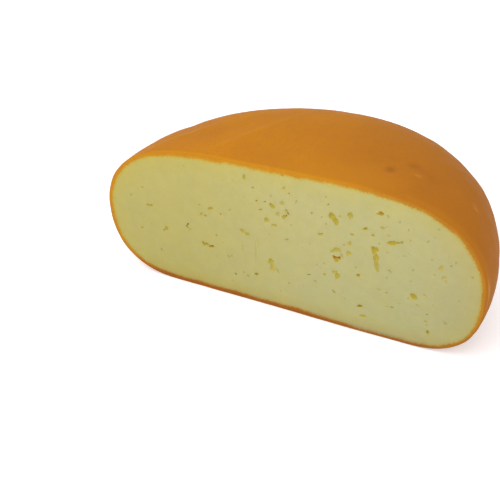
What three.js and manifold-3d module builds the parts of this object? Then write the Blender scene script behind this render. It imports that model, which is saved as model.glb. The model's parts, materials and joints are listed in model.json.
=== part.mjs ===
// Half a wheel of havarti, cut straight down through its middle and standing on its flat foot.
// Millimetres, +Z up. The cut face looks along -Y, and the origin is under the middle of the half wheel.

import * as THREE from 'three';
import { mergeVertices } from 'three/addons/utils/BufferGeometryUtils.js';
import Module from 'manifold-3d';

// Driving dimensions of the whole wheel
const WHEEL_RADIUS = 125;
const WHEEL_HEIGHT = 99;
const WIDEST_HEIGHT = 45.5; // height of the widest ring above the foot
const FOOT_RADIUS = 78.5; // the flat circle that the wheel stands on

// Roundness of the rind's outline: 2 is an ellipse, more is squarer
const TOP_FLATNESS = 4.4;
const SHOULDER_ROUNDNESS = 2;
const BASE_ROUNDNESS = 2.35;

// Unevenness of a wheel that was pressed and turned by hand
const LEAN = 0.03; // extra height at the +X rim, as a share of the height there
const RIM_WANDER = 0.7; // how far the round rim strays in and out
// Waves of the straying rim: each one's share, how many go around the wheel, and the angle it starts at
const RIM_WAVES = [
  { share: 1, around: 3, start: 0.6 },
  { share: 0.6, around: 5, start: 2.1 },
];
const DENTS = [
  { across: 58, back: 22, up: 99, width: 9, depth: 0.9 },
  { across: 67, back: 31, up: 98, width: 9, depth: 0.6 },
  { across: -82, back: 38, up: 90, width: 14, depth: 1.1 },
];

// Fineness of the rind
const TURN_STEPS = 120;
const OUTLINE_STEPS = 40;
const OUTLINE_SAMPLES = 2000; // spots along the outline that its even steps are measured on
const BASE_SHARE = 0.35; // share of the outline's course that lies below the widest ring

// Eyes in the paste, cut open by the knife. Each row is one hollow on the cut face: how far across from
// the wheel's axis, how far up from the foot, its length, its breadth and its tilt in degrees.
const LARGE_EYES = [
  [-66, 44.5, 4.2, 2.4, 55],
  [-55, 33.8, 4.2, 2.8, -20],
  [-49.5, 33.3, 4.4, 2.2, 15],
  [-54.5, 55.4, 4, 2.4, 10],
  [-48.5, 61, 3.8, 2.2, 25],
  [-27, 51, 3.4, 3, -20],
  [-9.8, 62.8, 4.4, 3, 65],
  [-8.5, 34, 5, 3.4, 65],
  [-5.5, 73.7, 4.6, 3.4, -35],
  [1.5, 77, 3.6, 3, 0],
  [2.4, 68.2, 4.4, 2.4, 55],
  [32.8, 76.2, 5, 3.8, -30],
  [35.7, 72.8, 5, 2.8, -70],
  [35.4, 54.3, 5.2, 3.6, 20],
  [35.3, 48.2, 4.4, 3.4, 0],
  [35.3, 36.6, 6, 3, -60],
  [42.7, 54.2, 3.4, 3, 60],
  [44.3, 80, 3.8, 3.6, 45],
  [53.5, 73.2, 3.4, 2.2, 35],
  [59.3, 61, 4.6, 3.8, 90],
  [60.2, 53, 9, 3.8, -80],
  [62.8, 85.3, 4.2, 2.8, 15],
  [69.3, 68, 5.6, 3.2, 0],
  [73.5, 69.2, 5, 2, 15],
  [83, 36, 4, 3.8, -45],
  [49.8, 18.8, 3.8, 2, 30],
  [92.3, 13, 3.2, 2.4, 75],
  [98.3, 59.2, 3.8, 2.4, 70],
];
const SMALL_EYE_COUNT = 30;
const SMALL_EYE_LENGTH = [1.4, 2.8]; // shortest and longest
const SMALL_EYE_BREADTH = [0.6, 1]; // slimmest and roundest, as a share of the length
const LARGE_EYE_SPLITS = 1; // how often the twenty sides of an eye's lump are split
const SMALL_EYE_SPLITS = 0;
const EYE_DEPTH = 0.9; // depth of a hollow, as a share of its mean width
const EYE_SINK = 0.12; // how far its middle lies behind the cut, as a share of its depth
const EYE_ROUGHNESS = 0.3; // how far its corners stray, as a share of its size
const EYE_MARGIN = 10; // paste left whole under the rind
const EYE_FIELD_SQUARENESS = 3; // outline of the part of the cut that has eyes: 2 is an ellipse
const EYE_SPACING = 5; // least distance between the middles of two eyes

// The finish: pale paste inside an orange rind, shown here by the rind's colour
const RIND_COLOUR = 0xc98328;
const RIND_ROUGHNESS = 0.5;

const wasm = await Module();
wasm.setup();

// A fixed scatter: always the same number from 0 to 1 for the same pair of whole numbers, from the last
// digits of a very steep wave
function scatter(item, draw) {
  const itemPace = 12.9898;
  const drawPace = 78.233;
  const steepness = 43758.5453;
  const wave = Math.sin(item * itemPace + draw * drawPace) * steepness;
  return wave - Math.floor(wave);
}

// The number that lies a given share of the way between two limits
function between([least, most], share) {
  return least + (most - least) * share;
}

// One side of the wheel's outline, from the edge of the foot out to the widest ring and in to the top
class RindOutline extends THREE.Curve {
  getPoint(t, target = new THREE.Vector2()) {
    const quarter = Math.PI / 2;
    if (t < BASE_SHARE) {
      const turn = quarter * (1 - t / BASE_SHARE);
      const corner = WHEEL_RADIUS - FOOT_RADIUS;
      const radius = FOOT_RADIUS + corner * Math.cos(turn) ** (2 / BASE_ROUNDNESS);
      return target.set(radius, WIDEST_HEIGHT * (1 - Math.sin(turn) ** (2 / BASE_ROUNDNESS)));
    }
    const turn = quarter * (1 - (t - BASE_SHARE) / (1 - BASE_SHARE));
    const rise = WHEEL_HEIGHT - WIDEST_HEIGHT;
    const radius = WHEEL_RADIUS * Math.sin(turn) ** (2 / TOP_FLATNESS);
    return target.set(radius, WIDEST_HEIGHT + rise * Math.cos(turn) ** (2 / SHOULDER_ROUNDNESS));
  }
}

// Moves a point of the true wheel to where the uneven one has it. The foot stays flat and the rim keeps
// its radius at both ends of the cut.
function uneven(point) {
  const angle = Math.atan2(point.y, point.x);
  let wander = 0;
  for (const { share, around, start } of RIM_WAVES) {
    wander += share * Math.sin(around * angle + start);
  }
  const swell = 1 + (RIM_WANDER / WHEEL_RADIUS) * Math.sin(angle) * wander;
  const lift = 1 + (LEAN * point.x) / WHEEL_RADIUS;
  const moved = new THREE.Vector3(point.x * swell, point.y * swell, point.z * lift);
  for (const dent of DENTS) {
    const middle = new THREE.Vector3(dent.across, dent.back, dent.up);
    const spread = moved.distanceTo(middle) / (dent.width / 2);
    moved.z -= dent.depth * Math.exp(-spread * spread);
  }
  return moved;
}

// Keeps only the positions of a geometry and joins the corners that coincide
function joined(geometry) {
  geometry.deleteAttribute('normal');
  geometry.deleteAttribute('uv');
  return mergeVertices(geometry);
}

function moveCorners(geometry, move) {
  const corners = geometry.getAttribute('position');
  for (let i = 0; i < corners.count; i += 1) {
    const moved = move(new THREE.Vector3().fromBufferAttribute(corners, i), i);
    corners.setXYZ(i, moved.x, moved.y, moved.z);
  }
}

// A solid for cutting, from a closed geometry whose corners are joined
function solidOf(geometry) {
  const index = geometry.getIndex().array;
  const triVerts = [];
  for (let i = 0; i < index.length; i += 3) {
    const [a, b, c] = [index[i], index[i + 1], index[i + 2]];
    if (a !== b && b !== c && c !== a) triVerts.push(a, b, c);
  }
  const mesh = new wasm.Mesh({
    numProp: 3,
    vertProperties: new Float32Array(geometry.getAttribute('position').array),
    triVerts: new Uint32Array(triVerts),
  });
  return new wasm.Manifold(mesh);
}

function geometryOf(solid) {
  const mesh = solid.getMesh();
  const geometry = new THREE.BufferGeometry();
  geometry.setAttribute('position', new THREE.BufferAttribute(new Float32Array(mesh.vertProperties), 3));
  geometry.setIndex(new THREE.BufferAttribute(new Uint32Array(mesh.triVerts), 1));
  geometry.computeVertexNormals();
  return geometry;
}

// The whole wheel: the outline turned once around the axis, made uneven
function wheel() {
  const outline = new RindOutline();
  outline.arcLengthDivisions = OUTLINE_SAMPLES;
  const profile = [new THREE.Vector2(0, 0), ...outline.getSpacedPoints(OUTLINE_STEPS)];
  profile.at(-1).setX(0);
  const turned = joined(new THREE.LatheGeometry(profile, TURN_STEPS).rotateX(Math.PI / 2));
  moveCorners(turned, uneven);
  return solidOf(turned);
}

// The block of space in front of the cut, with room to spare around the wheel
function frontHalf() {
  const side = 3 * WHEEL_RADIUS;
  return solidOf(joined(new THREE.BoxGeometry(side, side, side).translate(0, -side / 2, 0)));
}

// One eye: a lumpy hollow lying across the cut plane
function eye([across, up, length, breadth, tilt], number, splits) {
  const depth = (EYE_DEPTH * (length + breadth)) / 2;
  const lump = joined(new THREE.IcosahedronGeometry(1 / 2, splits));
  moveCorners(lump, (corner, i) => corner.multiplyScalar(1 + EYE_ROUGHNESS * (scatter(i, number) - 0.5)));
  lump.scale(length, depth, breadth);
  lump.rotateY(-THREE.MathUtils.degToRad(tilt));
  lump.translate(across, EYE_SINK * depth, up);
  return solidOf(lump);
}

// True where the cut face has paste on all sides of a spot, clear of the rind
function insidePaste(across, up) {
  const reach = WHEEL_RADIUS - EYE_MARGIN;
  const rise = WHEEL_HEIGHT - WIDEST_HEIGHT - EYE_MARGIN;
  const drop = WIDEST_HEIGHT - EYE_MARGIN;
  const height = up - WIDEST_HEIGHT;
  const level = height > 0 ? height / rise : height / drop;
  const aside = Math.abs(across) / reach;
  return aside ** EYE_FIELD_SQUARENESS + Math.abs(level) ** EYE_FIELD_SQUARENESS < 1;
}

// Small eyes scattered over the paste, clear of the rind, the large eyes and each other
function smallEyes() {
  const rows = [];
  for (let item = 0; rows.length < SMALL_EYE_COUNT; item += 1) {
    const across = between([-WHEEL_RADIUS, WHEEL_RADIUS], scatter(item, 1));
    const up = between([0, WHEEL_HEIGHT], scatter(item, 2));
    const clear = [...LARGE_EYES, ...rows].every(
      ([x, z, size]) => Math.hypot(across - x, up - z) > EYE_SPACING + size / 2,
    );
    if (!clear || !insidePaste(across, up)) continue;
    const length = between(SMALL_EYE_LENGTH, scatter(item, 3));
    const breadth = length * between(SMALL_EYE_BREADTH, scatter(item, 4));
    rows.push([across, up, length, breadth, between([0, 180], scatter(item, 5))]);
  }
  return rows;
}

function halfWheel() {
  let half = wheel().subtract(frontHalf());
  LARGE_EYES.forEach((row, number) => {
    half = half.subtract(eye(row, number, LARGE_EYE_SPLITS));
  });
  smallEyes().forEach((row, number) => {
    half = half.subtract(eye(row, LARGE_EYES.length + number, SMALL_EYE_SPLITS));
  });
  const geometry = geometryOf(half);
  geometry.computeBoundingBox();
  const { min, max } = geometry.boundingBox;
  return geometry.translate(-(min.x + max.x) / 2, -(min.y + max.y) / 2, -min.z);
}

const rind = new THREE.MeshStandardMaterial({
  color: RIND_COLOUR,
  roughness: RIND_ROUGHNESS,
  metalness: 0,
});
const cheese = new THREE.Mesh(halfWheel(), rind);
cheese.name = 'half_wheel';

const havarti = new THREE.Group();
havarti.add(cheese);

export default havarti;
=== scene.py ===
import json
import math
import bmesh
import bpy
import numpy as np
from mathutils import Matrix, Vector

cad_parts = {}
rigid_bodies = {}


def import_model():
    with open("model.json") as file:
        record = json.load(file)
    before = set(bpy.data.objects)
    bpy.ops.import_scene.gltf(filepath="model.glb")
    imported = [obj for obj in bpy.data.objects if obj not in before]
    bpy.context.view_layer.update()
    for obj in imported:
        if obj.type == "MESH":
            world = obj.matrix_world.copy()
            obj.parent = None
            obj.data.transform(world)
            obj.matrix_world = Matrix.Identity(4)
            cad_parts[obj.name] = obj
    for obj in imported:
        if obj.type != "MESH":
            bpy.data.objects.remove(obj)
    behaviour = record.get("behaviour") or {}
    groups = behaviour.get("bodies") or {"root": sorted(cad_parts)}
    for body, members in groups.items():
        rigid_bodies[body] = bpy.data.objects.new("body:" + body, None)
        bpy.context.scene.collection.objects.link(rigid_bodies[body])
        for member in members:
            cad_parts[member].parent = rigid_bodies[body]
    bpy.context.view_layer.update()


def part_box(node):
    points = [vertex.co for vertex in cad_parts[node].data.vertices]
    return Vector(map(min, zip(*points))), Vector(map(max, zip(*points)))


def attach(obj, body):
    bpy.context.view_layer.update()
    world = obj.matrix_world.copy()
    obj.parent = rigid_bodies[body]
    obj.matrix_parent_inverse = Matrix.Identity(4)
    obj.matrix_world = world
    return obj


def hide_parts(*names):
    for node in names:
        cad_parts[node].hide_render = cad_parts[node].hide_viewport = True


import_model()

# The wheel is curd that was pressed in a round mould and turned by hand while it ripened. It has a flat
# foot, a bulging rim and a low domed top, a little higher at one end, with a few thumb dents in its smooth
# skin. One straight knife cut leaves this half, which stands on its foot with the paste showing.

# The mesh is worked out in millimetres: across from the wheel's axis, behind the cut, and up from the foot
MM = 0.001
LOW, HIGH = (np.array(corner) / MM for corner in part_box("half_wheel"))
WHEEL_RADIUS = float(HIGH[0] - LOW[0]) / 2
WHEEL_HEIGHT = 0.792 * WHEEL_RADIUS
WIDEST_HEIGHT = 0.364 * WHEEL_RADIUS  # height of the widest ring above the foot
FOOT_RADIUS = 0.628 * WHEEL_RADIUS  # the flat circle that the wheel stands on
BACK_REACH = float(HIGH[1] - LOW[1])  # from the cut to the back of the rim
TOP_FLATNESS = 4.4  # roundness of the rind's outline: 2 is an ellipse, more is squarer
SHOULDER_ROUNDNESS = 2.0
BASE_ROUNDNESS = 2.35
LEAN = 0.03  # extra height at the +X rim, as a share of the height there
RIM_WANDER = 0.7  # how far the round rim strays in and out
RIM_WAVES = [
    # share of the straying, how many waves go around the whole wheel, and the angle they start at
    (1.0, 3, 0.6),
    (0.6, 5, 2.1),
]


def rind_level(spots, upper=None):
    """Where spots lie against the rind: under 0 inside, 0 on it, over 0 outside. The lean and the wandering
    rim are taken out first. Above the widest ring the wheel is (r/R)^n + (z/H)^m = 1, and below it the rim
    turns in to the flat foot by the same rule around a corner. Which rule holds may be given, or follows
    the height."""
    across, behind, up = np.moveaxis(spots, -1, 0)
    angle = np.arctan2(behind, across)
    wander = sum(share * np.sin(waves * angle + start) for share, waves, start in RIM_WAVES)
    swell = 1 + RIM_WANDER / WHEEL_RADIUS * np.sin(angle) * wander
    radius = np.hypot(across, behind) / swell
    height = up / (1 + LEAN * across / swell / WHEEL_RADIUS) - WIDEST_HEIGHT
    rise = np.maximum(height, 0) / (WHEEL_HEIGHT - WIDEST_HEIGHT)
    drop = np.maximum(-height, 0) / WIDEST_HEIGHT
    corner = np.maximum(radius - FOOT_RADIUS, 0) / (WHEEL_RADIUS - FOOT_RADIUS)
    above = (radius / WHEEL_RADIUS) ** TOP_FLATNESS + rise ** SHOULDER_ROUNDNESS
    below = corner ** BASE_ROUNDNESS + drop ** BASE_ROUNDNESS
    return np.where(height > 0 if upper is None else upper, above, below) - 1


def rind_slope(spots, step=0.05):
    """The direction in which rind_level grows fastest, by its change over a small step along each axis."""
    upper = spots[..., 2] > WIDEST_HEIGHT * (1 + LEAN * spots[..., 0] / WHEEL_RADIUS)
    sides = [rind_level(spots + axis, upper) - rind_level(spots - axis, upper) for axis in step * np.eye(3)]
    return np.stack(sides, -1) / (2 * step)


def skin_depth(spots, least_slope=1e-6):
    """Millimetres of cheese between a spot and the nearest rind: the level over its slope, true near the
    rind. The least slope stands in where the level is even, so that nothing is divided by 0."""
    slope = np.linalg.norm(rind_slope(spots), axis=-1)
    return np.clip(-rind_level(spots) / np.maximum(slope, least_slope), 0, None)


def to_unit(arrows, least_length=1e-9):
    """Each arrow brought to a length of 1. An arrow of no length stays so."""
    return arrows / np.maximum(np.linalg.norm(arrows, axis=-1, keepdims=True), least_length)


def slice_spots(angle, behind, reach):
    """Spots on slices parallel to the cut: a direction around the slice's middle, and a reach along it."""
    across, up = reach * np.cos(angle), WIDEST_HEIGHT + reach * np.sin(angle)
    return np.stack(np.broadcast_arrays(across, behind, up), -1)


def rind_reach(angle, behind, farthest=1.5 * WHEEL_RADIUS, finest=0.001):
    """Distance from the middle of a slice out to the rind, in each direction around it: a step is added
    wherever it still ends inside, then halved, until it is finer than a micron."""
    reach = np.zeros(np.broadcast(angle, behind).shape)
    step = farthest
    while step > finest:
        step /= 2
        inside = rind_level(slice_spots(angle, behind, reach + step)) < 0
        reach = np.where(inside, reach + step, reach)
    return reach


def smooth_step(value, start, end):
    """0 before start, 1 after end, and 3t^2 - 2t^3 between them."""
    share = np.clip((value - start) / (end - start), 0, 1)
    return share * share * (3 - 2 * share)


RIPPLE_WAVES = 12
RIPPLE_LENGTHS = (0.7, 1.4)  # shortest and longest wave, as a share of the ripple's size


def ripple(spots, size, seed):
    """Soft unevenness, mostly from -1 to 1: the sum of sine waves that cross the cheese in fixed random
    directions, each about one size from crest to crest."""
    draw = np.random.default_rng(seed)
    heading = to_unit(draw.normal(size=(RIPPLE_WAVES, 3)))
    pace = 2 * np.pi / (size * draw.uniform(*RIPPLE_LENGTHS, (RIPPLE_WAVES, 1)))
    phase = draw.uniform(0, 2 * np.pi, RIPPLE_WAVES)
    return np.sin(spots @ (heading * pace).T + phase).sum(-1) / math.sqrt(RIPPLE_WAVES)


def ripple_sum(spots, ripples):
    """The sum of some ripples. Each row gives the height, the size and the seed of one."""
    return sum(height * ripple(spots, size, seed) for height, size, seed in ripples)


# Rings around slices of the wheel, with even steps along the edge of the cut. They run from the back of the
# rim to the cut, over its rounded edge, and in across the paste to the middle.
AROUND_STEPS = 400
RIND_ROWS = 88
EDGE_ROWS = 5
EDGE_ROUND = 0.7  # radius of the cut's edge
NEAR_RIND = np.array([1.2, 1.7, 2.2, 2.7, 3.2, 3.7, 4.3, 5.0, 6.0, 7.5])  # where the skin changes colour
FACE_ROWS = 36
EDGE_SAMPLES = 4000  # spots on the cut's edge that the even spacing is measured along
ONTO_CUT = (1, 0, 1)  # takes out the distance behind the cut

fine = np.linspace(0, 2 * np.pi, EDGE_SAMPLES + 1)
cut_edge = slice_spots(fine, 0.0, rind_reach(fine, 0.0))
edge_length = np.append(0, np.cumsum(np.linalg.norm(np.diff(cut_edge, axis=0), axis=1)))
around = np.interp(np.arange(AROUND_STEPS) / AROUND_STEPS * edge_length[-1], edge_length, fine)

turn = np.linspace(np.pi / 2, 0, RIND_ROWS + 1)[1:, None]
behind = EDGE_ROUND + (BACK_REACH - EDGE_ROUND) * np.sin(turn)
rind_rows = slice_spots(around, behind, rind_reach(around, behind))

rim = rind_rows[-1] * ONTO_CUT
inward = to_unit(-rind_slope(rim) * ONTO_CUT)
backward = np.array([0.0, 1.0, 0.0])
bend = np.linspace(0, np.pi / 2, EDGE_ROWS + 1)[1:, None, None]
edge_rows = rim + EDGE_ROUND * ((1 - np.cos(bend)) * inward + (1 - np.sin(bend)) * backward)
near_rows = rim + NEAR_RIND[:, None, None] * inward
middle = np.array([0.0, 0.0, WIDEST_HEIGHT])
shrink = np.linspace(1, 0, FACE_ROWS + 1)[1:-1, None, None]
face_rows = middle + shrink * (near_rows[-1] - middle)
far_rim = np.array([0.0, BACK_REACH, WIDEST_HEIGHT])
rows = np.concatenate([rind_rows, edge_rows, near_rows, face_rows])
corners = np.vstack([rows.reshape(-1, 3), far_rim, middle])

# Dents, folds of the pressing cloth and scuffs in the skin, with some painted light and shade. Each row is
# one soft mark: its middle across, behind and up, its length, breadth and rise, the heading of its length
# in degrees, how far it stands out of the skin, and its tint, which is over 0 where the coat is paler and
# under
# 0 where it is darker: rubbed coat on the scuffs, and painted light and shade where noted.
MARKS = [
    # painted shade in three dents
    (57.6, 25.0, 99.0, 8.0, 10.0, 20.0, 20, -0.5, -0.55),
    (55.5, 37.0, 98.5, 10.0, 7.0, 20.0, 20, -0.3, -0.25),
    (67.0, 37.0, 98.0, 10.0, 10.0, 20.0, 0, -0.4, -0.4),
    # a painted highlight on a raised mark beside the dents
    (73.5, 27.0, 97.0, 8.0, 4.5, 20.0, -20, 0.3, 0.7),
    (80.0, 30.0, 96.0, 24.0, 16.0, 30.0, 10, -0.3, -0.3),
    # rubbed scuffs
    (106.0, 30.0, 83.0, 6.0, 2.6, 12.0, -30, 0.3, 0.6),
    (95.0, 32.0, 90.0, 9.0, 4.0, 14.0, -40, 0.2, 0.3),
    # a painted highlight streak on the right end, by the cut
    (124.0, 3.0, 50.0, 5.0, 1.6, 16.0, 0, 0.2, 0.9),
    # painted light and shade where the flat top turns into the shoulder, and painted sheen along the left
    # rim
    (-37.0, 38.0, 97.5, 100.0, 6.0, 60.0, 66, 0.25, 0.35),
    (-52.0, 45.0, 95.0, 90.0, 22.0, 60.0, 66, -0.2, -0.25),
    (-78.0, 27.0, 92.0, 70.0, 6.0, 60.0, 54, 0.35, 0.45),
    # two dents with no tint, and a rubbed scuff by the cut
    (-81.0, 37.0, 91.0, 40.0, 9.0, 40.0, 121, -0.9, 0.0),
    (-96.0, 5.0, 88.0, 30.0, 8.0, 40.0, 121, -0.7, 0.0),
    (-7.8, 0.7, 98.9, 4.0, 1.2, 8.0, 0, 0.1, 0.45),
]
BACK_MARKS = 26
BACK_MARK_SEED = 9
BACK_MARK_START = 55  # how far behind the cut the nearest lies
BACK_MARK_LOWEST = 12
BACK_MARK_HIGHEST = 70
BACK_MARK_LEAST = [5, 12, 3, -0.7, -0.6]  # length, breadth, rise, how far it stands out, and wear
BACK_MARK_MOST = [34, 18, 16, 0.3, 0.6]


def back_marks():
    """Seeded marks on the back, where the wheel lay against other wheels: each stands at a random corner of
    the rind well behind the cut, and is drawn out along the rim."""
    draw = np.random.default_rng(BACK_MARK_SEED)
    spots = rind_rows.reshape(-1, 3)
    _, behind, up = spots.T
    spots = spots[(behind > BACK_MARK_START) & (up > BACK_MARK_LOWEST) & (up < BACK_MARK_HIGHEST)]
    chosen = spots[draw.choice(len(spots), BACK_MARKS, replace=False)]
    heading = np.degrees(np.arctan2(chosen[:, 1], chosen[:, 0])) + 90
    sizes = draw.uniform(BACK_MARK_LEAST, BACK_MARK_MOST, (BACK_MARKS, len(BACK_MARK_LEAST)))
    return np.column_stack([chosen, sizes[:, :3], heading, sizes[:, 3:]]).tolist()


ALL_MARKS = MARKS + back_marks()


def oval_gap(first, second, tilt, length, breadth):
    """The squared distance from the middle of a tilted oval, counted in half lengths along it and half
    breadths across it, so that it is 1 on the oval itself."""
    turn = math.radians(tilt)
    along = (first * math.cos(turn) + second * math.sin(turn)) / (length / 2)
    aside = (second * math.cos(turn) - first * math.sin(turn)) / (breadth / 2)
    return along ** 2 + aside ** 2


def mark_sums(spots):
    """How far all marks stand out and how much they tint the coat, by wear and by painted light and shade,
    at
    each spot: every mark is a bell, exp(-d^2), whose distance d is counted in half lengths along its
    heading, half breadths across it and half rises upwards."""
    height, wear_and_painted_light = np.zeros(len(spots)), np.zeros(len(spots))
    for across, behind, up, length, breadth, rise, heading, stand, pale in ALL_MARKS:
        east, north, lift = (spots - [across, behind, up]).T
        bell = np.exp(-(oval_gap(east, north, heading, length, breadth) + (lift / (rise / 2)) ** 2))
        height += stand * bell
        wear_and_painted_light += pale * bell
    return height, wear_and_painted_light


# The marks and some soft swellings move the skin, and fade out inside the paste. The foot stays flat.
SWELLINGS = [
    # height, size and seed of each ripple
    (0.16, 45, 1),
    (0.06, 14, 2),
    (0.03, 5, 3),
]
STILL_DEPTH = 12  # depth from which the paste isn't moved
FLAT_FOOT = (0.5, 10)  # heights between which the skin starts to move

relief = ripple_sum(corners, SWELLINGS) + mark_sums(corners)[0]
relief *= 1 - smooth_step(skin_depth(corners), 0, STILL_DEPTH)
relief *= smooth_step(corners[:, 2], *FLAT_FOOT)
corners += relief[:, None] * to_unit(rind_slope(corners))

# The knife wandered a little on its way through
KNIFE_RIPPLES = [
    # height, size and seed of each ripple
    (0.22, 70, 4),
    (0.05, 16, 5),
]


def knife_wander(spots):
    """How far behind the true plane the knife ran, straight over each spot."""
    return ripple_sum(spots * ONTO_CUT, KNIFE_RIPPLES)


on_cut = 1 - smooth_step(corners[:, 1], 0, EDGE_ROUND)
corners[:, 1] += on_cut * knife_wander(corners)


def skin_faces(ring_count, ring_size):
    """Faces of a closed skin of rings that run from the back to the front, each counted anticlockwise as
    seen from the front: four-sided faces from ring to ring, and a fan of triangles at each end onto the
    two corners that follow the rings. All of them look outwards."""
    start = np.arange(ring_count - 1)[:, None] * ring_size
    here = np.arange(ring_size)
    after = np.roll(here, -1)
    quads = np.stack([start + here, start + after, start + ring_size + after, start + ring_size + here], -1)
    last = (ring_count - 1) * ring_size
    first_pole = np.full(ring_size, ring_count * ring_size)
    first_fan = np.stack([first_pole, after, here], -1)
    last_fan = np.stack([first_pole + 1, last + here, last + after], -1)
    return quads.reshape(-1, 4).tolist() + first_fan.tolist() + last_fan.tolist()


def new_object(name, corners, faces, group):
    """A mesh object at the origin, its corners in the mesh, put in a collection."""
    mesh = bpy.data.meshes.new(name)
    mesh.from_pydata(corners.tolist(), [], faces)
    made = bpy.data.objects.new(name, mesh)
    group.objects.link(made)
    return made


RIND, PASTE = 0, 1
SCENE_ROOT = bpy.context.scene.collection
cheese = new_object("havarti_half_wheel", corners, skin_faces(*rows.shape[:2]), SCENE_ROOT)
rind_faces = (RIND_ROWS + EDGE_ROWS - 1) * AROUND_STEPS
face_finish = np.full(len(cheese.data.polygons), PASTE, np.int32)
face_finish[:rind_faces] = RIND
first_fan_start = (rows.shape[0] - 1) * AROUND_STEPS
face_finish[first_fan_start:first_fan_start + AROUND_STEPS] = RIND

# The eyes are hollows that stayed open between the pressed grains of curd, so they are uneven rather than
# round, and some run into each other. The knife opened those that lay across the cut.

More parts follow.
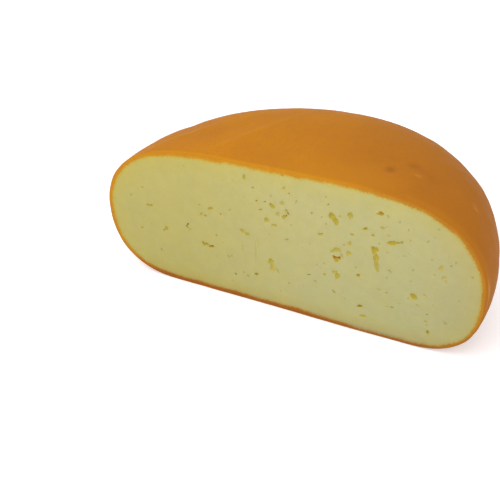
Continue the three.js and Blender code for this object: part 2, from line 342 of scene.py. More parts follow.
# Each row is one hollow: its middle across from the wheel's axis and up from the foot, its length, breadth
# and tilt in degrees, and its depth as a share of half its mean width
EYES = [
    # larger eyes and those that run together, from left to right
    (-65.8, 45.6, 2.4, 1.2, 45, 1.4),
    (-66.6, 43.8, 2.1, 1.2, -65, 1.5),
    (-64.7, 42.1, 3.2, 1.2, -50, 0.5),
    (-55.4, 33.7, 3.6, 2.3, -60, 1.0),
    (-53.2, 34.1, 3.5, 1.5, -15, 1.2),
    (-50.1, 33.2, 4.1, 1.6, 20, 1.3),
    (-54.9, 55.2, 3.1, 1.6, 10, 0.65),
    (-52.3, 55.2, 2.0, 1.4, 0, 1.0),
    (-48.3, 61.0, 3.6, 1.9, 25, 0.8),
    (-27.0, 50.5, 3.3, 2.8, -10, 0.65),
    (-25.3, 49.9, 2.2, 1.4, -20, 0.6),
    (-23.4, 49.2, 2.9, 2.3, 20, 0.75),
    (-23.0, 88.7, 3.5, 1.7, 80, 0.72),
    (-17.5, 83.1, 2.1, 1.5, 20, 0.5),
    (-19.1, 21.3, 3.0, 1.3, 20, 1.6),
    (-19.0, 20.6, 2.0, 1.2, 0, 0.5),
    (-9.8, 62.8, 3.7, 2.6, 65, 0.7),
    (-13.1, 69.3, 2.6, 1.2, 15, 0.7),
    (-8.5, 33.8, 4.6, 3.1, 75, 0.7),
    (-7.5, 31.2, 3.4, 2.2, 85, 0.55),
    (-7.6, 28.8, 4.8, 3.8, 80, 0.4),
    (-3.9, 28.4, 4.2, 1.4, -60, 0.4),
    (-5.5, 73.4, 4.0, 2.9, -40, 0.75),
    (-4.8, 60.5, 3.6, 1.4, 8, 0.7),
    (-2.0, 68.9, 3.8, 2.5, 55, 0.4),
    (1.4, 76.9, 3.1, 2.5, 0, 0.48),
    (2.1, 67.8, 3.5, 2.1, 60, 0.77),
    (3.5, 69.2, 2.0, 1.3, 40, 1.8),
    (4.0, 72.4, 2.7, 1.8, -60, 0.76),
    (5.0, 71.0, 1.6, 1.5, 0, 1.9),
    (3.0, 87.5, 2.6, 2.2, 45, 0.41),
    (10.7, 80.4, 2.8, 1.4, 72, 0.38),
    (3.4, 52.7, 2.3, 1.5, 15, 0.8),
    (17.1, 31.7, 2.4, 0.9, 0, 1.5),
    (25.3, 62.2, 3.4, 1.4, 30, 0.8),
    (33.3, 76.3, 5.3, 4.2, -25, 0.7),
    (35.3, 73.5, 5.0, 3.5, -70, 0.75),
    (38.1, 77.6, 2.6, 1.6, 20, 0.33),
    (35.7, 54.3, 4.9, 3.0, 20, 0.56),
    (32.7, 52.6, 3.2, 2.6, 80, 0.4),
    (38.8, 51.1, 4.0, 1.8, -75, 0.4),
    (34.3, 48.4, 3.4, 2.4, -50, 1.6),
    (36.5, 48.8, 3.5, 2.0, 40, 1.6),
    (35.2, 47.0, 3.2, 2.6, 90, 0.9),
    (34.1, 38.3, 3.4, 2.4, 30, 0.65),
    (35.8, 36.2, 4.6, 2.9, 75, 0.65),
    (33.4, 24.5, 2.4, 1.7, -50, 0.8),
    (43.1, 53.9, 3.4, 2.9, 60, 0.5),
    (43.8, 60.8, 3.0, 2.0, 75, 0.6),
    (44.4, 79.8, 3.6, 3.3, 45, 0.7),
    (44.4, 78.0, 2.0, 1.1, 85, 0.5),
    (45.4, 67.6, 2.5, 1.9, 30, 0.55),
    (48.9, 40.3, 2.8, 1.6, 40, 1.25),
    (49.9, 18.8, 3.8, 1.6, 25, 1.4),
    (52.2, 12.2, 3.2, 2.1, 0, 0.7),
    (50.7, 12.3, 1.6, 1.5, 0, 1.0),
    (53.4, 73.3, 2.8, 1.5, 35, 1.1),
    (58.2, 70.4, 2.3, 2.0, -10, 0.6),
    (58.5, 61.6, 2.8, 2.6, 0, 1.2),
    (60.2, 61.4, 2.7, 2.4, 0, 1.2),
    (58.9, 60.2, 4.0, 3.6, 85, 0.85),
    (59.2, 58.0, 3.2, 2.7, 90, 0.75),
    (60.0, 54.8, 6.0, 3.6, 88, 0.6),
    (60.4, 49.7, 7.0, 2.6, -80, 0.47),
    (62.9, 85.6, 3.3, 2.6, 15, 1.2),
    (61.2, 85.1, 2.4, 1.2, 0, 0.8),
    (67.1, 85.0, 2.6, 1.6, -60, 0.4),
    (63.9, 76.7, 2.6, 2.3, 10, 0.5),
    (66.3, 77.8, 2.6, 1.1, 45, 0.35),
    (69.1, 67.9, 4.6, 2.9, 5, 0.8),
    (70.6, 69.4, 2.0, 1.6, 30, 1.2),
    (72.6, 69.0, 3.8, 1.5, 15, 0.8),
    (75.6, 70.4, 2.2, 1.6, 60, 0.75),
    (68.5, 49.0, 2.6, 1.4, -35, 0.6),
    (70.1, 24.2, 2.3, 1.2, 0, 0.9),
    (66.9, 23.8, 2.2, 1.2, 10, 0.41),
    (66.6, 33.6, 2.2, 1.3, 20, 0.6),
    (61.7, 34.5, 3.0, 1.2, 5, 0.35),
    (83.0, 35.7, 4.3, 3.7, -45, 0.8),
    (84.9, 35.1, 1.8, 1.2, -30, 0.9),
    (91.3, 25.8, 1.6, 1.4, 0, 0.9),
    (92.0, 13.8, 2.4, 1.6, 40, 1.7),
    (92.2, 12.9, 2.2, 2.0, 0, 0.9),
    (98.6, 59.7, 3.5, 2.2, 65, 0.43),
    (97.5, 58.6, 1.4, 0.8, 80, 0.7),
    (100.4, 53.9, 3.4, 2.3, 55, 0.41),
    (101.8, 51.9, 1.8, 1.0, -60, 0.46),
    (101.2, 23.9, 1.2, 1.1, 0, 0.45),
    (102.6, 23.1, 1.8, 1.5, -10, 0.7),
    (104.2, 62.8, 1.5, 1.2, 0, 0.75),
    (106.9, 65.6, 2.3, 1.5, 70, 0.38),
    (116.5, 59.0, 1.8, 1.4, 60, 0.6),
    (109.8, 41.2, 1.8, 1.1, 40, 0.55),
    # small eyes
    (81.0, 45.7, 1.7, 1.2, 80, 0.43),
    (79.9, 33.6, 1.2, 1.0, 0, 0.6),
    (85.4, 30.6, 2.3, 1.0, -15, 0.5),
    (74.0, 28.2, 2.4, 1.0, 35, 0.36),
    (90.1, 38.5, 3.3, 1.3, -35, 0.41),
    (90.0, 20.8, 1.0, 0.6, 70, 0.9),
    (91.2, 20.7, 1.2, 0.7, 75, 0.9),
    (91.3, 18.3, 1.4, 1.2, 0, 0.6),
    (79.1, 79.0, 2.2, 1.3, 85, 0.4),
    (80.3, 72.8, 1.3, 0.9, 80, 0.6),
    (82.4, 53.8, 1.5, 1.0, 60, 0.6),
    (90.5, 74.9, 1.8, 0.9, 45, 0.7),
    (93.2, 63.9, 1.4, 0.9, 30, 0.6),
    (95.0, 54.4, 1.4, 0.9, 0, 0.55),
    (6.3, 84.9, 1.5, 1.0, 45, 0.9),
    (-15.7, 74.7, 1.5, 1.2, 20, 1.4),
    (-10.0, 75.4, 1.8, 1.0, 10, 0.8),
    (20.4, 75.4, 2.1, 1.4, 30, 0.6),
    (31.0, 83.8, 1.7, 1.0, 60, 1.0),
    (40.3, 59.1, 1.5, 1.1, 70, 0.6),
    (21.5, 28.3, 1.6, 1.5, 0, 0.6),
    (27.5, 42.8, 1.7, 1.5, 0, 0.45),
    (27.6, 35.2, 2.1, 1.7, 45, 0.55),
    (18.4, 54.2, 1.1, 0.9, 0, 0.6),
    (3.6, 21.4, 1.5, 1.3, 0, 0.6),
    (6.8, 63.5, 2.2, 2.0, 0, 0.3),
    (61.9, 65.8, 1.5, 1.1, 80, 0.6),
    (67.5, 72.4, 2.4, 1.8, 60, 0.28),
    (-55.6, 62.1, 1.6, 1.3, 0, 0.6),
    (-41.1, 59.1, 1.9, 1.3, 10, 0.7),
    (-45.6, 42.7, 1.6, 1.2, 80, 1.0),
    (-34.4, 63.8, 1.7, 1.3, 20, 0.6),
    (-37.9, 29.4, 2.0, 1.4, 0, 0.7),
    (-35.6, 30.3, 1.6, 1.1, 50, 0.9),
    (-47.0, 26.8, 1.3, 1.1, 60, 0.7),
    (-33.8, 17.4, 2.1, 1.6, 40, 1.0),
    (-25.1, 18.6, 1.7, 1.3, 0, 0.7),
    (-28.0, 20.4, 1.5, 1.3, 0, 0.6),
    (-31.0, 84.3, 2.4, 1.8, 20, 0.25),
    (26.9, 74.4, 1.4, 1.2, 0, 0.43),
    (29.4, 70.6, 1.4, 1.2, 60, 0.5),
    (29.6, 88.3, 1.4, 1.0, -45, 0.5),
    (47.7, 45.8, 1.4, 1.0, 45, 0.5),
    (73.8, 83.0, 1.6, 0.9, 30, 0.5),
    # eyes near the left end
    (-82.5, 38.0, 3.2, 2.3, 60, 0.8),
    (-84.3, 36.4, 2.0, 1.4, -40, 0.9),
    (-94.0, 52.0, 3.4, 2.0, 15, 0.8),
    (-91.7, 52.8, 1.8, 1.4, 80, 1.1),
    (-88.0, 20.5, 2.4, 1.5, -20, 0.9),
    (-101.0, 34.0, 2.3, 1.9, 45, 0.6),
    (-106.5, 57.0, 1.8, 1.4, 70, 0.6),
    (-97.0, 64.5, 2.0, 1.4, 0, 0.5),
    # two long shallow tears, and a nick just under the rind
    (-18.5, 38.0, 17.0, 1.2, 88, 0.05),
    (-16.3, 44.0, 9.0, 1.1, 90, 0.08),
    (2.6, 95.9, 2.4, 1.2, -15, 0.7),
]
PINHOLES = 40
PINHOLE_SEED = 77
PINHOLE_TRIES = 600  # places drawn, of which the first clear ones are taken
PINHOLE_LENGTH = (0.7, 1.6)  # shortest and longest
PINHOLE_BREADTH = 0.7  # as a share of the length
PINHOLE_DEPTH = 0.45  # a share, as in the rows above
PINHOLE_MARGIN = 7  # paste left whole under the rind
PINHOLE_SPACING = 4.5  # least distance from the middle of an eye
EYE_AROUND = 24
EYE_ROWS = 14
EYE_SEED = 1000
EYE_BLUNTNESS = 0.8  # an eye's shape from its mouth inwards: 1 is an ellipse, less is blunter
EYE_SLANT = 0.25  # how far it rises for each millimetre that it goes in
EYE_POINTS = [
    # how many points there are around the mouth, and how far they stand out, as a share of its width
    (2, 0.08),
    (3, 0.12),
    (5, 0.06),
    (8, 0.05),
]
EYE_POINT_SHARE = (0.5, 1)  # least and most of that, in any one eye
SEEN_RISE = 0.38  # how far above the middle of its mouth the dark part of an eye shows, seen from above
HOLLOW_SINK = 0.1  # middle of a hollow behind the cut, as a share of half its depth
DISH_SINK = -0.6  # middle of a shallow dish, which lies before the cut
DISH_SHARE = 0.42  # eyes of less depth than this are dishes
LIP_WIDTH = 0.45  # the soft lip around a larger hollow
LIP_DEPTH = 0.45
LIP_LENGTH = 2.6  # hollows longer than this have one


def pinhole_rows():
    """Seeded pinholes over the paste, clear of the rind and of the larger eyes."""
    draw = np.random.default_rng(PINHOLE_SEED)
    spots = draw.uniform([-WHEEL_RADIUS, 0, 0], [WHEEL_RADIUS, 0, WHEEL_HEIGHT], (PINHOLE_TRIES, 3))
    across, _, up = spots.T
    eyes = np.array(EYES)
    gaps = np.hypot(across[:, None] - eyes[:, 0], up[:, None] - eyes[:, 1])
    in_paste = (rind_level(spots) < 0) & (skin_depth(spots) > PINHOLE_MARGIN)
    clear = in_paste & (gaps.min(1) > PINHOLE_SPACING)
    length = draw.uniform(*PINHOLE_LENGTH, PINHOLE_TRIES)
    tilt = draw.uniform(0, 180, PINHOLE_TRIES)
    depth = np.full(PINHOLE_TRIES, PINHOLE_DEPTH)
    found = np.column_stack([across, up, length, PINHOLE_BREADTH * length, tilt, depth])
    return found[clear][:PINHOLES].tolist()


def eye_lump(across, up, length, breadth, tilt, depth, sink, number):
    """Corners of one closed lump that opens on the cut: a ball with a few blunt points around its mouth,
    stretched to its length, breadth and depth, tilted, and slanting up as it goes in. Its middle lies
    behind the cut by sink times its half depth, or, where sink is under 0, before the cut, which leaves a
    shallow dish. A dish is widened so that its mouth still has the length and breadth asked for."""
    draw = np.random.default_rng(EYE_SEED + number)
    longitude = np.arange(EYE_AROUND) * 2 * np.pi / EYE_AROUND
    latitude = np.linspace(0, np.pi, EYE_ROWS + 2)[1:-1, None]
    points = 1 + sum(
        draw.uniform(*EYE_POINT_SHARE) * size * np.cos(count * longitude + draw.uniform(0, 2 * np.pi))
        for count, size in EYE_POINTS
    )
    half = depth / (1 + sink)
    mouth = (1 - min(sink, 0) ** 2) ** (EYE_BLUNTNESS / 2)
    girth = np.sin(latitude) ** EYE_BLUNTNESS * points / mouth
    along = girth * np.cos(longitude) * length / 2
    aside = girth * np.sin(longitude) * breadth / 2
    back = half * np.cos(latitude) + 0 * along
    turn = math.radians(tilt)
    start = sink * half + knife_wander(np.array([across, 0.0, up]))
    spots = np.stack([
        across + along * math.cos(turn) - aside * math.sin(turn),
        start + back,
        up + along * math.sin(turn) + aside * math.cos(turn) + EYE_SLANT * (sink * half + back),
    ], -1)
    poles = [(across, start + end, up + EYE_SLANT * (sink * half + end)) for end in (half, -half)]
    return np.vstack([spots.reshape(-1, 3), poles])


# One closed lump for each hollow and each lip. A mouth lies lower than where its dark part shows.
ALL_EYES = [(across, up - SEEN_RISE, *shape) for across, up, *shape in EYES + pinhole_rows()]
hollows = bpy.data.collections.new("hollows")
eye_faces = skin_faces(EYE_ROWS, EYE_AROUND)
for number, (across, up, length, breadth, tilt, share) in enumerate(ALL_EYES):
    depth = share * (length + breadth) / 4
    sink = DISH_SINK if share < DISH_SHARE else HOLLOW_SINK
    lump = eye_lump(across, up, length, breadth, tilt, depth, sink, number)
    new_object(f"hollow_{number}", lump, eye_faces, hollows)
    if sink == HOLLOW_SINK and length > LIP_LENGTH:
        lip_sides = (length + 2 * LIP_WIDTH, breadth + 2 * LIP_WIDTH)
        lip = eye_lump(across, up, *lip_sides, tilt, LIP_DEPTH, DISH_SINK, number)
        new_object(f"lip_{number}", lip, eye_faces, hollows)

# The rind is the wheel's own dried skin under a thin orange coat. It is smooth and satin, a little blotchy,
# and lighter where the knife has bared its edge, partly from painted light glowing through the thin rind
# there. Painted shade makes it browner towards the foot and the right end.
RIND_ORANGE = (0.6, 0.222, 0.0115, 1)
RIND_LIGHT = (0.63, 0.25, 0.012, 1)
RIND_EDGE = (0.57, 0.247, 0.012, 1)
RIND_BROWN = (0.35, 0.112, 0.014, 1)
RIND_RUBBED_AND_HIGHLIGHT = (0.64, 0.29, 0.045, 1)
RIND_SOILED_AND_SHADE = (0.26, 0.085, 0.012, 1)
RIND_LOOK = {"Specular IOR Level": 0.02}
RIND_ROUGHNESS = (0.40, 0.52)  # least and most, from one close patch to the next
WIDE_PATCH = 0.045  # sizes of the soft patches in metres
CLOSE_PATCH = 0.006
SPECK = 0.0012
RIND_MOTTLING = [
    # size of the patches, the colour that they turn the rind to, and how much
    (WIDE_PATCH, RIND_BROWN, 0.25),
    (CLOSE_PATCH, RIND_LIGHT, 0.34),
    (SPECK, RIND_BROWN, 0.2),
]
RIND_RELIEF = [
    # size of the patches, how high they stand in metres, and how strongly they show
    (CLOSE_PATCH, 0.00012, 0.5),
    (SPECK, 0.00004, 0.5),
]
RIND_PAINTED_SHADE = [
    # axis along which painted shade browns the rind, from where to where in metres, and how much
    ("X", -0.05, 0.09, 0.56),
    ("X", 0.07, 0.125, 0.34),
    ("X", -0.03, -0.1, 0.12),
    ("Z", 0.025, 0.0, 0.5),
]
RIND_CUT_TONE_AND_GLOW = [
    # distances behind the cut between which a tint sets in, stretches of X over which it grows, its colour,
    # and how much. The lighter tints are partly the bared edge's own colour and partly painted light
    # glowing through the thin rind at the cut
    ((0.035, 0.005), [(-0.04, 0.02), (0.085, 0.045)], RIND_LIGHT, 0.35),
    ((0.0025, 0.0), [(0.07, 0.02)], RIND_EDGE, 0.6),
    ((0.009, 0.001), [(0.06, 0.085)], RIND_LIGHT, 0.2),
    ((0.0025, 0.0), [(0.05, 0.085)], RIND_BROWN, 0.2),
]
TINT_SHOWS = 0.05  # tint from wear and from painted light and shade at which the coat changes colour


def add_node(tree, kind, values=None, **options):
    """Adds a shader node, sets its options, and fills its inputs: a socket is linked, a value is set."""
    made = tree.nodes.new(kind)
    for option, value in options.items():
        setattr(made, option, value)
    for name, value in (values or {}).items():
        if isinstance(value, bpy.types.NodeSocket):
            tree.links.new(value, made.inputs[name])
        else:
            made.inputs[name].default_value = value
    return made


def add_math(tree, kind, first, second):
    """One number from two, by a Math node of that kind."""
    return add_node(tree, "ShaderNodeMath", {0: first, 1: second}, operation=kind).outputs[0]


def add_product(tree, *shares):
    """The product of some numbers."""
    product = shares[0]
    for share in shares[1:]:
        product = add_math(tree, "MULTIPLY", product, share)
    return product


def add_tint(tree, colour, target, *shares):
    """The colour, turned towards the target by the product of the shares."""
    values = {"Factor": add_product(tree, *shares), "A": colour, "B": target}
    return add_node(tree, "ShaderNodeMix", values, data_type="RGBA").outputs["Result"]


def add_veil(tree, colour, shade, *shares):
    """The colour times the shade, as far as the product of the shares goes."""
    values = {"Factor": add_product(tree, *shares), "A": colour, "B": shade}
    made = add_node(tree, "ShaderNodeMix", values, data_type="RGBA", blend_type="MULTIPLY")
    return made.outputs["Result"]


def add_ramp(tree, value, start, end):
    """0 before start, 1 after end, with a soft step between them. Start may lie above end."""
    limits = {"Value": value, "From Min": start, "From Max": end}
    return add_node(tree, "ShaderNodeMapRange", limits, interpolation_type="SMOOTHSTEP").outputs["Result"]


def add_slope(tree, value, start, end):
    """0 before start, 1 after end, and a straight slope between them."""
    limits = {"Value": value, "From Min": start, "From Max": end}
    return add_node(tree, "ShaderNodeMapRange", limits).outputs["Result"]


def add_steps(tree, value, steps):
    """The colour at a value, blended between listed steps, from 0 to the last of them."""
    reach = steps[-1][0]
    share = add_math(tree, "DIVIDE", value, reach)
    ramp = add_node(tree, "ShaderNodeValToRGB", {"Fac": share})
    stops = ramp.color_ramp.elements
    while len(stops) < len(steps):
        stops.new(1.0)
    for stop, (step, colour) in zip(stops, steps):
        stop.position = step / reach
        stop.color = colour
    return ramp.outputs["Color"]


def new_blotches(detail=2.0, least=0.3, most=0.7):
    """A shader group for soft uneven patches of any size, which both finishes use: cloudy noise, evened out
    to run from 0 at its least to 1 at its most."""
    group = bpy.data.node_groups.new("soft_blotches", "ShaderNodeTree")
    for name, kind in (("Place", "NodeSocketVector"), ("Patch size", "NodeSocketFloat")):
        group.interface.new_socket(name, in_out="INPUT", socket_type=kind)
    group.interface.new_socket("Patch", in_out="OUTPUT", socket_type="NodeSocketFloat")
    given = group.nodes.new("NodeGroupInput").outputs
    scale = add_math(group, "DIVIDE", 1.0, given["Patch size"])
    noise = {"Vector": given["Place"], "Scale": scale, "Detail": detail}
    cloud = add_node(group, "ShaderNodeTexNoise", noise).outputs[0]
    even = add_ramp(group, cloud, least, most)
    result = group.nodes.new("NodeGroupOutput")
    group.links.new(even, result.inputs["Patch"])
    return group


BLOTCHES = new_blotches()


def add_blotches(tree, place, size):
    """Soft patches of that size, in metres, from 0 to 1."""
    made = add_node(tree, "ShaderNodeGroup", {"Place": place, "Patch size": size}, node_tree=BLOTCHES)
    return made.outputs["Patch"]


def add_layer(tree, name):
    """The number that the mesh keeps for each of its corners under that name."""
    return add_node(tree, "ShaderNodeAttribute", attribute_name=name).outputs["Fac"]


def add_bumps(tree, shader, bumps):
    """Relief too fine for the mesh: a chain of bump nodes, each with its height, reach and strength."""
    normal = None
    for height, reach, strength in bumps:
        bump = add_node(tree, "ShaderNodeBump", {"Height": height, "Distance": reach, "Strength": strength})
        if normal:
            tree.links.new(normal, bump.inputs["Normal"])
        normal = bump.outputs["Normal"]
    tree.links.new(normal, shader.inputs["Normal"])


def new_finish(name):
    """An empty material, its shader node, and the place on the cheese as a vector and as three numbers."""
    finish = bpy.data.materials.new(name)
    finish.use_nodes = True
    tree = finish.node_tree
    place = add_node(tree, "ShaderNodeTexCoord").outputs["Object"]
    parts = add_node(tree, "ShaderNodeSeparateXYZ", {"Vector": place}).outputs
    return finish, tree, tree.nodes["Principled BSDF"], place, parts


def set_look(shader, look):
    """Sets the values that are the same all over a finish."""
    for name, value in look.items():
        shader.inputs[name].default_value = value


CUT_PLANE = float(LOW[1]) * MM

rind_finish, tree, shader, place, parts = new_finish("orange_rind")
patches = {size: add_blotches(tree, place, size) for size in (WIDE_PATCH, CLOSE_PATCH, SPECK)}
colour = RIND_ORANGE
for size, target, strength in RIND_MOTTLING:
    colour = add_tint(tree, colour, target, patches[size], strength)
for axis, start, end, strength in RIND_PAINTED_SHADE:
    colour = add_tint(tree, colour, RIND_BROWN, add_ramp(tree, parts[axis], start, end), strength)
for (start, end), stretches, target, strength in RIND_CUT_TONE_AND_GLOW:
    by_cut = add_ramp(tree, parts["Y"], CUT_PLANE + start, CUT_PLANE + end)
    along_cut = [add_ramp(tree, parts["X"], *stretch) for stretch in stretches]
    colour = add_tint(tree, colour, target, by_cut, *along_cut, strength)
wear_and_painted_light = add_layer(tree, "rind_wear_and_painted_light")
# rubbed and soiled coat, with the painted highlights, sheen and shade of the marks
colour = add_tint(tree, colour, RIND_RUBBED_AND_HIGHLIGHT, add_ramp(tree, wear_and_painted_light, TINT_SHOWS, 1.0))
colour = add_tint(tree, colour, RIND_SOILED_AND_SHADE, add_ramp(tree, wear_and_painted_light, -TINT_SHOWS, -1.0))
tree.links.new(colour, shader.inputs["Base Color"])
limits = {"Value": patches[CLOSE_PATCH], "To Min": RIND_ROUGHNESS[0], "To Max": RIND_ROUGHNESS[1]}
dull = add_node(tree, "ShaderNodeMapRange", limits).outputs["Result"]
tree.links.new(dull, shader.inputs["Roughness"])
add_bumps(tree, shader, [(patches[size], height, strength) for size, height, strength in RIND_RELIEF])
set_look(shader, RIND_LOOK)

# The paste is moist, close and pale, with a faint grain of pressed curd and of the knife. It turns orange
# through the last few millimetres under the rind. Painted shade darkens it towards the foot and both ends,
# and inside the eyes it is painted deeper yellow and browner, for shade and light bounced in the hollows.
PASTE_PALE = (0.543, 0.487, 0.203, 1)
GRAIN_SHADE = (0.96, 0.95, 0.88, 1)
CLOUD_SHADE = (0.965, 0.98, 1.04, 1)
PASTE_LOOK = {
    "Roughness": 0.5,
    "Specular IOR Level": 0.12,
    "Subsurface Weight": 0.12,
    "Subsurface Radius": (1.0, 0.7, 0.25),
    "Subsurface Scale": 0.003,
}
CRUMB = 0.0012  # sizes of the soft patches in metres
GRAIN = 0.005
CLOUD = 0.011
DRIFT = 0.03
PASTE_MOTTLING = [
    # size of the patches, their shade, and how much of it shows
    (GRAIN, GRAIN_SHADE, 0.6),
    (CRUMB, GRAIN_SHADE, 0.4),
    (CLOUD, CLOUD_SHADE, 1.0),
]
PASTE_RELIEF = [
    # size of the patches, how high they stand in metres, and how strongly they show
    (GRAIN, 0.00010, 0.6),
    (CRUMB, 0.00004, 0.6),
]
KNIFE_SCORES = (0.0012, 0.00005, 0.6)  # size, height and strength of the fine lines that the knife left
KNIFE_DRAW = (1.0, 1.0, 0.04)  # they are drawn out upwards
PASTE_PAINTED_SHADE = [
    # axis along which painted shade darkens the paste, from where to where in metres, and its shade at the
    # end
    # darker and yellower towards the left end: painted shade and painted orange light bounced onto it
    ("X", 0.02, -0.07, (0.97, 0.93, 0.71, 1)),
    # darker towards the right end: painted shade
    ("X", 0.0, 0.07, (0.955, 0.972, 1.01, 1)),
    ("X", 0.08, 0.122, (0.94, 0.90, 0.93, 1)),
    # darker towards the foot: painted shade
    ("Z", 0.1, 0.0, (0.86, 0.89, 0.95, 1)),
    ("Z", 0.012, 0.003, (0.93, 0.88, 0.92, 1)),
    ("Z", 0.005, 0.0015, (0.84, 0.76, 1.1, 1)),
]
SKIN_PARTS = [
    # stretches of X and of Z over which a part of the orange skin sets in, how many millimetres thinner it
    # is there, and its shade: painted shade, which darkens the band towards the foot and the right end
    ((0.0, 0.06), (0.04, 0.015), 1.1, (0.83, 0.745, 1.08, 1)),
    ((0.055, 0.01), (0.012, 0.006), -0.4, (0.81, 0.68, 1.0, 1)),
    ((-0.02, 0.08), (0.02, 0.05), 0.75, (0.91, 0.86, 1.0, 1)),
    ((0.06, 0.085), (0.05, 0.075), 0.0, (0.94, 0.945, 1.05, 1)),
]
SKIN_WANDER = [
    # size of the patches that let the orange in deeper, and how many millimetres deeper
    (DRIFT, 1.1),
    (CLOUD, 0.6),
    (CRUMB, 0.7),
]
SKIN_THINNING = 0.45  # millimetres by which the skin is thinner all along, to make up for that
SKIN_SHADED = (3.6, 2.0)  # millimetres under the rind between which the shades of its parts set in
EYE_STEPS = [
    # millimetres behind the cut, more in a narrow eye, and the colour there, painted deeper yellow and then
    # browner as the hollow deepens, for the shade and the light bounced inside it
    (0.0, (0.48, 0.40, 0.115, 1)),
    (0.3, (0.50, 0.415, 0.085, 1)),
    (0.8, (0.51, 0.415, 0.047, 1)),
    (1.6, (0.55, 0.37, 0.052, 1)),
    (2.8, (0.56, 0.27, 0.055, 1)),
    (4.0, (0.60, 0.25, 0.055, 1)),
]
EYE_MOUTH = (0.03, 0.36)  # millimetres behind the cut between which an eye takes on its own colour
EYE_MARGIN = (3.0, 5.0)  # millimetres under the rind between which eyes start to be coloured
SKIN_STEPS = [
    # millimetres under the rind, colour there
    (0.0, (0.59, 0.243, 0.011, 1)),
    (1.9, (0.62, 0.28, 0.014, 1)),
    (2.7, (0.61, 0.375, 0.05, 1)),
    (3.4, (0.57, 0.46, 0.112, 1)),
    (4.8, (0.56, 0.487, 0.170, 1)),
    (20.0, PASTE_PALE),
]

paste_finish, tree, shader, place, parts = new_finish("pale_paste")
patches = {size: add_blotches(tree, place, size) for size in (CRUMB, GRAIN, CLOUD, DRIFT)}
under_skin = add_math(tree, "ADD", add_layer(tree, "skin_depth"), SKIN_THINNING)
shades = []
for across, up, thinner, shade in SKIN_PARTS:
    share = add_product(tree, add_ramp(tree, parts["X"], *across), add_ramp(tree, parts["Z"], *up))
    under_skin = add_math(tree, "ADD", under_skin, add_product(tree, share, thinner))
    shades.append((shade, share))
for size, deeper in SKIN_WANDER:
    under_skin = add_math(tree, "SUBTRACT", under_skin, add_product(tree, patches[size], deeper))
colour = add_steps(tree, under_skin, SKIN_STEPS)
in_skin = add_ramp(tree, under_skin, *SKIN_SHADED)
for shade, share in shades:
    colour = add_veil(tree, colour, shade, share, in_skin)
for size, shade, strength in PASTE_MOTTLING:
    colour = add_veil(tree, colour, shade, patches[size], strength)
for axis, start, end, shade in PASTE_PAINTED_SHADE:
    colour = add_veil(tree, colour, shade, add_slope(tree, parts[axis], start, end))
in_eye = add_steps(tree, add_layer(tree, "eye_shade"), EYE_STEPS)
past_mouth = add_ramp(tree, add_layer(tree, "eye_depth"), *EYE_MOUTH)
colour = add_tint(tree, colour, in_eye, past_mouth, add_ramp(tree, under_skin, *EYE_MARGIN))
tree.links.new(colour, shader.inputs["Base Color"])
bumps = [(patches[size], height, strength) for size, height, strength in PASTE_RELIEF]
factors = {0: place, 1: KNIFE_DRAW}
drawn_out = add_node(tree, "ShaderNodeVectorMath", factors, operation="MULTIPLY").outputs[0]
size, height, strength = KNIFE_SCORES
bumps.append((add_blotches(tree, drawn_out, size), height, strength))
add_bumps(tree, shader, bumps)
set_look(shader, PASTE_LOOK)

# The eyes and their lips are cut out of the wheel
for piece in (cheese, *hollows.objects):
    piece.data.materials.append(rind_finish)
    piece.data.materials.append(paste_finish)
cheese.data.polygons.foreach_set("material_index", face_finish)
for hollow in hollows.objects:
    hollow.data.polygons.foreach_set("material_index", np.full(len(eye_faces), PASTE, np.int32))

cut_out = cheese.modifiers.new("eyes", "BOOLEAN")
cut_out.operation = "DIFFERENCE"
cut_out.operand_type = "COLLECTION"
cut_out.collection = hollows
cut_out.solver = "MANIFOLD"
SCENE_ROOT.children.link(hollows)
bpy.context.view_layer.update()
whole = cheese.data
cheese.data = bpy.data.meshes.new_from_object(cheese.evaluated_get(bpy.context.evaluated_depsgraph_get()))
cheese.modifiers.clear()
bpy.data.meshes.remove(whole)
for hollow in list(hollows.objects):
    bpy.data.meshes.remove(hollow.data)
bpy.data.collections.remove(hollows)
cheese.data.name = "havarti_half_wheel"


def clean_cuts(mesh, sliver=0.01):
    """Joins corners that the cutting left closer than a sliver, in millimetres, and clears away the faces
    that then have no area and the corners where only two faces meet."""
    work = bmesh.new()
    work.from_mesh(mesh)
    bmesh.ops.remove_doubles(work, verts=work.verts, dist=sliver)
    bmesh.ops.dissolve_degenerate(work, dist=sliver, edges=work.edges)
    spare = [corner for corner in work.verts if len(corner.link_edges) == 2]
    bmesh.ops.dissolve_verts(work, verts=spare)
    work.to_mesh(mesh)
    work.free()


clean_cuts(cheese.data)


def read_numbers(items, name, width=1, kind=np.float32):
    """One property of every item of a mesh as an array, with one row for each item."""
    values = np.empty(width * len(items), kind)
    items.foreach_get(name, values)
    return values.reshape(-1, width) if width > 1 else values


def eye_shade(spots, depth, darkening=1.5):
    """How deep each spot looks: its depth behind the cut, times the depth share of the eye that it lies in
    to the power of the darkening, so that a narrow eye darkens sooner than a wide one. The eye is the one
    whose oval is nearest. It sets the painted shade inside the eyes."""
    nearest, narrowness = np.full(len(spots), np.inf), np.zeros(len(spots))
    for across, up, length, breadth, tilt, share in ALL_EYES:
        east, lift = spots[:, 0] - across, spots[:, 2] - up - EYE_SLANT * depth
        gap = oval_gap(east, lift, tilt, length, breadth)
        narrowness = np.where(gap < nearest, share ** darkening, narrowness)
        nearest = np.minimum(gap, nearest)
    return depth * narrowness


def keep_layer(mesh, name, values):
    """Keeps one number for each corner of a mesh, under a name that a finish reads."""
    mesh.attributes.new(name, "FLOAT", "POINT").data.foreach_set("value", values.astype(np.float32))


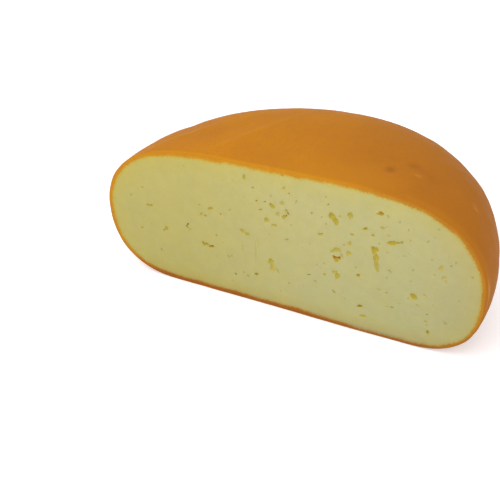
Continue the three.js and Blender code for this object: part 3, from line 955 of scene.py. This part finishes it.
def crease_mouths(mesh, straight=0.99):
    """Marks each edge between the flat cut and an eye as sharp, so that the cut is shaded flat up to the
    eye. An edge of the paste is one when just one of its two faces looks straight out of the cut."""
    paste = read_numbers(mesh.polygons, "material_index", 1, np.int32) == PASTE
    flat = paste & (read_numbers(mesh.polygons, "normal", 3)[:, 1] < -straight)
    owner = np.repeat(np.arange(len(paste)), read_numbers(mesh.polygons, "loop_total", 1, np.int32))
    edge = read_numbers(mesh.loops, "edge_index", 1, np.int32)
    flat_sides = np.bincount(edge, flat[owner], len(mesh.edges))
    paste_sides = np.bincount(edge, paste[owner], len(mesh.edges))
    sharp = read_numbers(mesh.edges, "use_edge_sharp", 1, bool)
    mesh.edges.foreach_set("use_edge_sharp", sharp | ((flat_sides == 1) & (paste_sides == 2)))


CREASE_ANGLE = math.radians(38)  # edges that bend more than this are shaded sharp

spots = read_numbers(cheese.data.vertices, "co", 3).astype(float)
depth = spots[:, 1] - knife_wander(spots)
keep_layer(cheese.data, "skin_depth", skin_depth(spots))
keep_layer(cheese.data, "rind_wear_and_painted_light", mark_sums(spots)[1])
keep_layer(cheese.data, "eye_depth", depth)
keep_layer(cheese.data, "eye_shade", eye_shade(spots, depth))
foot_of_cut = ((LOW[0] + HIGH[0]) / 2 * MM, LOW[1] * MM, LOW[2] * MM)
cheese.data.transform(Matrix.Translation(foot_of_cut) @ Matrix.Scale(MM, 4))
cheese.data.shade_smooth()
cheese.data.set_sharp_from_angle(angle=CREASE_ANGLE)
crease_mouths(cheese.data)
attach(cheese, "root")
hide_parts("half_wheel")

# A plain white floor that runs on past the view. Like a studio table it is lit from below, which leaves
# only a faint shadow. The camera alone sees that glow, so it adds no light to the cheese.
FLOOR_REACH = 10.0
FLOOR_LEVEL = -0.0003
FLOOR_GLOW = 0.35
FLOOR_LOOK = {
    "Base Color": (0.94, 0.945, 0.96, 1),
    "Roughness": 0.8,
    "Emission Color": (1, 1, 1, 1),
}

square = np.array([(-1, -1, 0), (1, -1, 0), (1, 1, 0), (-1, 1, 0)])
floor = new_object("floor", FLOOR_REACH * square + [0, 0, FLOOR_LEVEL], [(0, 1, 2, 3)], SCENE_ROOT)
floor_finish = bpy.data.materials.new("white_floor")
floor_finish.use_nodes = True
tree = floor_finish.node_tree
shader = tree.nodes["Principled BSDF"]
set_look(shader, FLOOR_LOOK)
seen = add_node(tree, "ShaderNodeLightPath").outputs["Is Camera Ray"]
tree.links.new(add_product(tree, seen, FLOOR_GLOW), shader.inputs["Emission Strength"])
floor.data.materials.append(floor_finish)

# Soft studio light: a white room, one large lamp high on the left in front of the cut, and a weak one on
# the right. The camera sees the room's walls as pure as the floor, so that no line shows where they meet.
ROOM_LIGHT = 0.7
LAMP_AIM = Vector((0.0, 0.0, 0.05))
LAMPS = [
    # name, breadth in metres, power in watts, and place
    ("key", 2.0, 14.5, (-0.4, -0.85, 1.3)),
    ("fill", 1.0, 2.5, (1.1, -0.5, 0.6)),
]

world = bpy.data.worlds.new("studio")
world.use_nodes = True
tree = world.node_tree
tree.nodes["Background"].inputs["Color"].default_value = (1, 1, 1, 1)
seen = add_node(tree, "ShaderNodeLightPath").outputs["Is Camera Ray"]
tree.links.new(add_math(tree, "MAXIMUM", seen, ROOM_LIGHT), tree.nodes["Background"].inputs["Strength"])
bpy.context.scene.world = world
bpy.context.scene.view_settings.view_transform = "Standard"
for name, breadth, power, place in LAMPS:
    lamp = bpy.data.objects.new(name, bpy.data.lights.new(name, "AREA"))
    lamp.data.size = breadth
    lamp.data.energy = power
    lamp.location = place
    lamp.rotation_euler = (lamp.location - LAMP_AIM).to_track_quat("Z", "Y").to_euler()
    SCENE_ROOT.objects.link(lamp)

# The camera looks down on the cut from the right, rolled a little, at the photograph's angle. Its place and
# its lens were found by laying the outlines of the rind and of the cut over those in the photograph.
CAMERA_AZIMUTH = math.radians(31.54)
CAMERA_ELEVATION = math.radians(33.69)
CAMERA_ROLL = math.radians(-4.05)
CAMERA_DISTANCE = 5.295 * WHEEL_RADIUS * MM
CAMERA_TARGET = Vector((-0.179 * WHEEL_RADIUS, LOW[1], 0.304 * WHEEL_RADIUS)) * MM
SENSOR_WIDTH = 36.0
LENS_SHARE = 2.197  # focal length, as a share of the sensor's width

back = Vector((
    math.sin(CAMERA_AZIMUTH) * math.cos(CAMERA_ELEVATION),
    -math.cos(CAMERA_AZIMUTH) * math.cos(CAMERA_ELEVATION),
    math.sin(CAMERA_ELEVATION),
))
camera = bpy.data.objects.new("camera", bpy.data.cameras.new("camera"))
camera.data.sensor_width = SENSOR_WIDTH
camera.data.lens = LENS_SHARE * SENSOR_WIDTH
camera.location = CAMERA_TARGET + CAMERA_DISTANCE * back
level = back.to_track_quat("Z", "Y")
camera.rotation_euler = (level.to_matrix() @ Matrix.Rotation(CAMERA_ROLL, 3, "Z")).to_euler()
SCENE_ROOT.objects.link(camera)
bpy.context.scene.camera = camera
